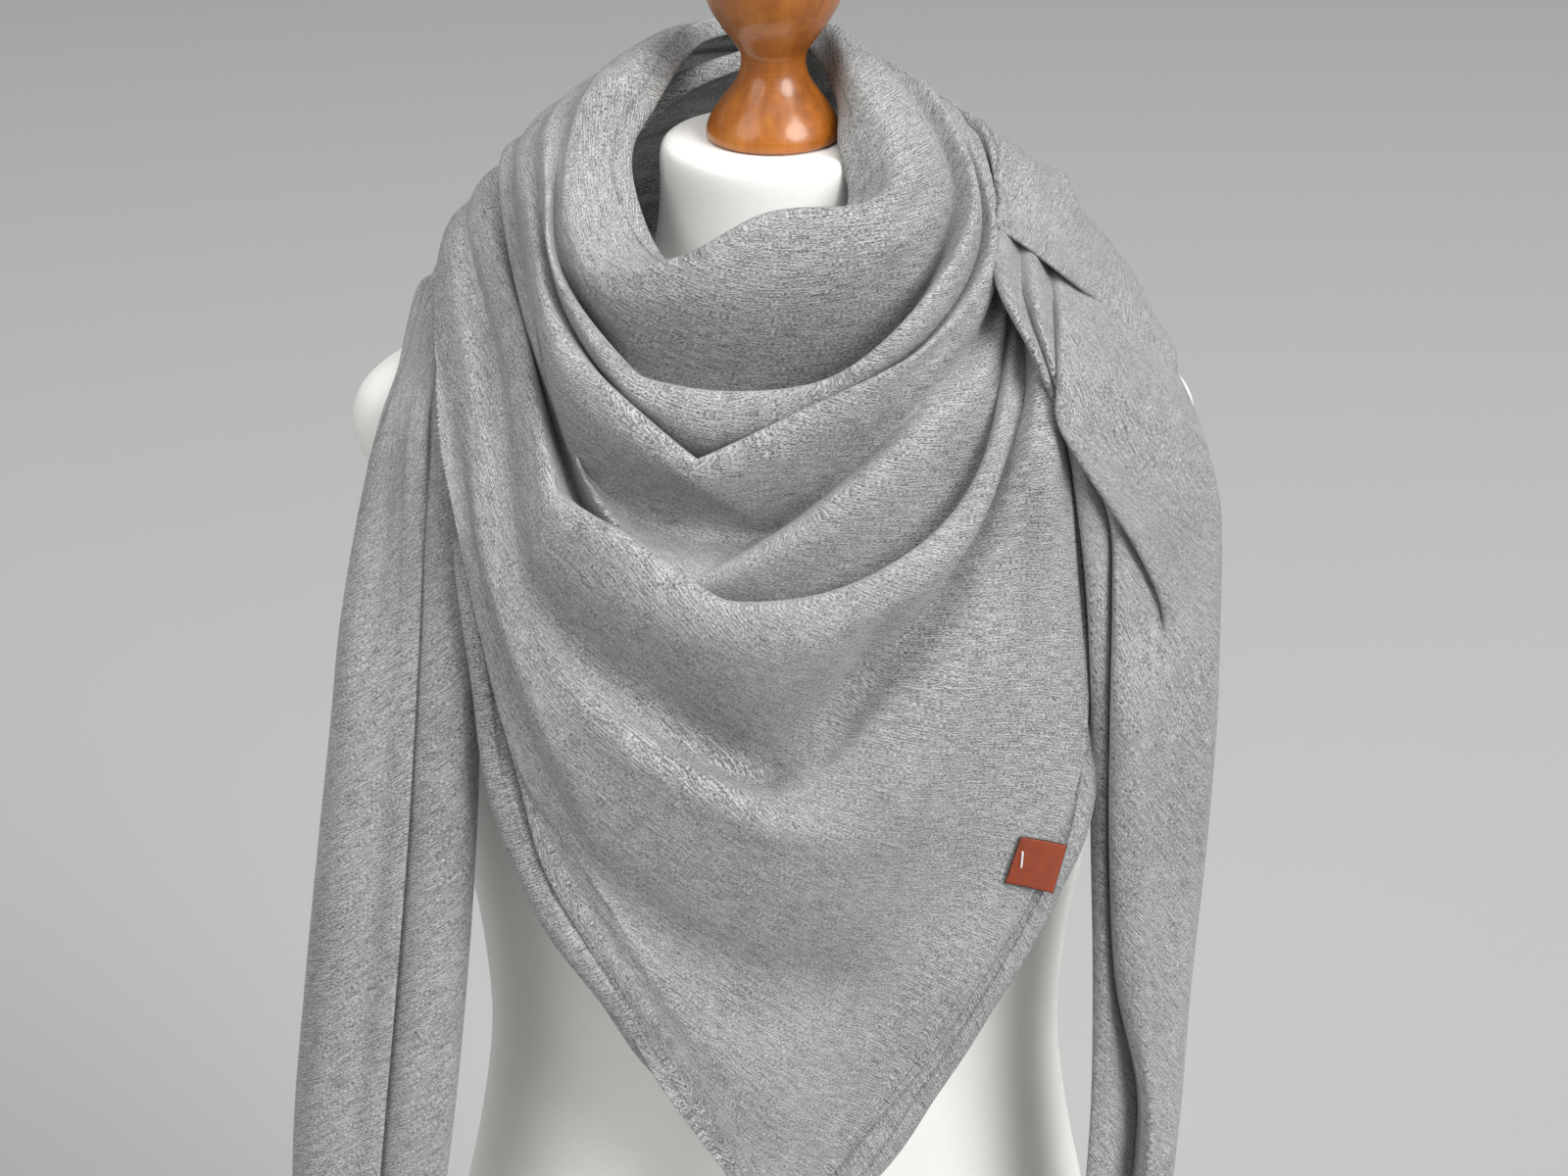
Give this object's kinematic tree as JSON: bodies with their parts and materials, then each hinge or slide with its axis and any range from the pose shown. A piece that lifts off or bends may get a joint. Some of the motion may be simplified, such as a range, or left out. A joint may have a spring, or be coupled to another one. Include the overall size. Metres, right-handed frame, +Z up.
{
  "type": "shawl on dress form",
  "caption": "Large triangular shawl of grey melange knit, worn point in front with both ends hanging from the shoulders, on a limbless dress form with a turned wooden neck knob and a round base",
  "frame": {"origin": "centre of the underside of the round base, on the floor", "axes": "+Z up; the front, where the shawl's point hangs, faces -Y; +X is the right side of the picture"},
  "size_m": [0.4673, 0.335, 1.0788],
  "materials": {
    "cover": "white cotton jersey cover, matte",
    "wood": "honey orange satin varnish",
    "steel": "satin",
    "knit": "grey melange cotton sweatshirt knit, matte, fine wales and flecks",
    "leather": "cognac leather, bare, satin"
  },
  "bodies": {
    "root": {"form_torso": "cover", "form_neck_knob": "wood", "form_base": "wood", "form_pole": "steel", "shawl_front": "knit", "shawl_outer_band": "knit", "shawl_outer_tail": "knit", "shawl_inner_band": "knit", "shawl_inner_tail": "knit", "shawl_under_left": "knit", "shawl_under_right": "knit", "label": "leather"}
  },
  "joints": []
}
